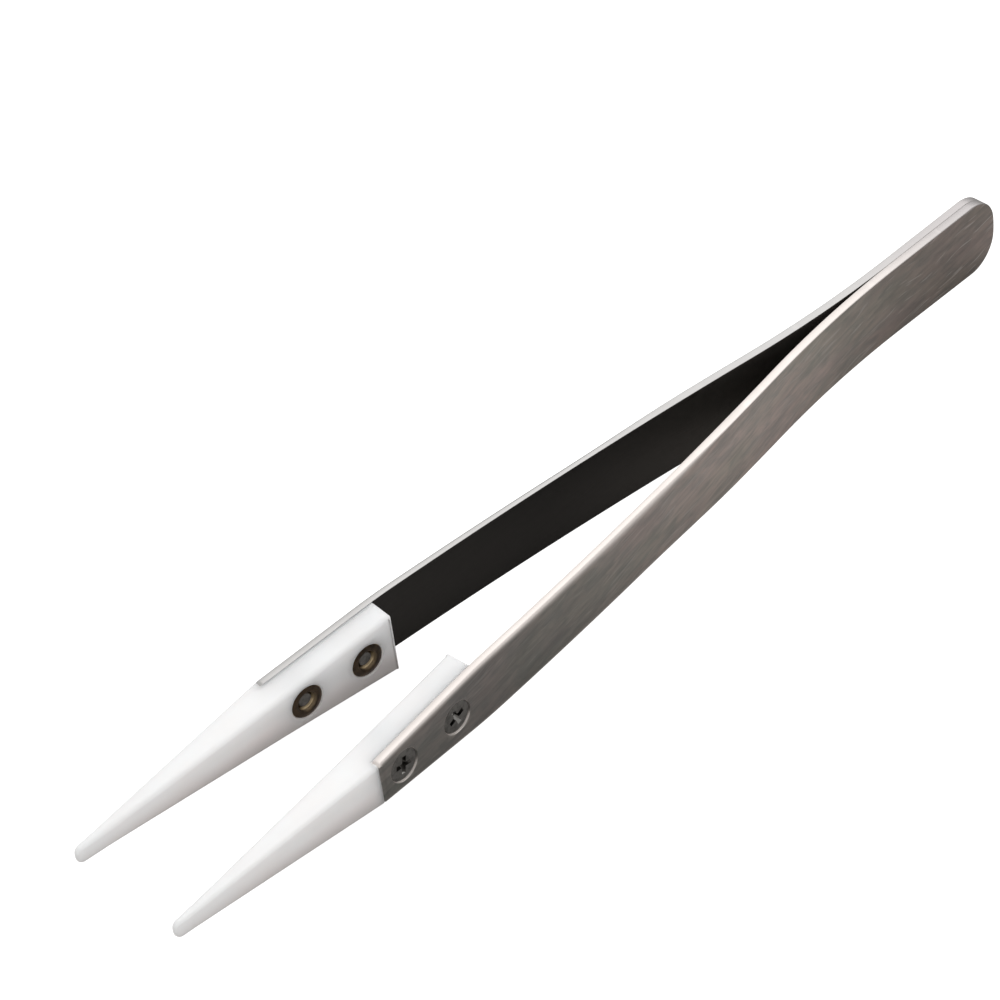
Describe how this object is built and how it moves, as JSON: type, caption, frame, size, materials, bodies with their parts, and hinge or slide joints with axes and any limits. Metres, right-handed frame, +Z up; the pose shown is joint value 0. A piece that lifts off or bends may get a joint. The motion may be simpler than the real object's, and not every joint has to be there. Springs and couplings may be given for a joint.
{
  "type": "ceramic tipped tweezers",
  "caption": "Flat spring steel tweezers joined at a rounded tail, each arm carrying a slim tapered white ceramic tip held by countersunk screws.",
  "frame": {"origin": "centre of the bottom of the whole object's box, on the plane that the long lower edges of the arms lie on", "axes": "+X towards the ceramic tips, +Y towards the left arm, +Z up across the blade's width; the XZ plane is the mirror plane between the arms"},
  "size_m": [0.13, 0.0182, 0.0095],
  "materials": {
    "arm_steel": "brushed",
    "zirconia": "ground, matt white",
    "screw_steel": "polished",
    "nut_bronze": "dark bronze"
  },
  "bodies": {
    "handle": {"left_arm": "arm_steel", "right_arm": "arm_steel"},
    "left_tip": {"left_ceramic_tip": "zirconia", "left_rear_screw": "screw_steel", "left_rear_nut": "nut_bronze", "left_front_screw": "screw_steel", "left_front_nut": "nut_bronze"},
    "right_tip": {"right_ceramic_tip": "zirconia", "right_rear_screw": "screw_steel", "right_rear_nut": "nut_bronze", "right_front_screw": "screw_steel", "right_front_nut": "nut_bronze"}
  },
  "joints": [
    {"name": "left_bend", "type": "hinge", "parent": "handle", "child": "left_tip", "pos_m": [-0.03099, 0.00152, 0.0048], "axis": [0, 0, -1], "range_deg": [0, 4.07], "stiffness_Nm_per_rad": 3.59, "deforming": ["left_arm"]},
    {"name": "right_bend", "type": "hinge", "parent": "handle", "child": "right_tip", "pos_m": [-0.03099, -0.00152, 0.0048], "axis": [0, 0, 1], "range_deg": [0, 4.07], "stiffness_Nm_per_rad": 3.59, "deforming": ["right_arm"]}
  ]
}
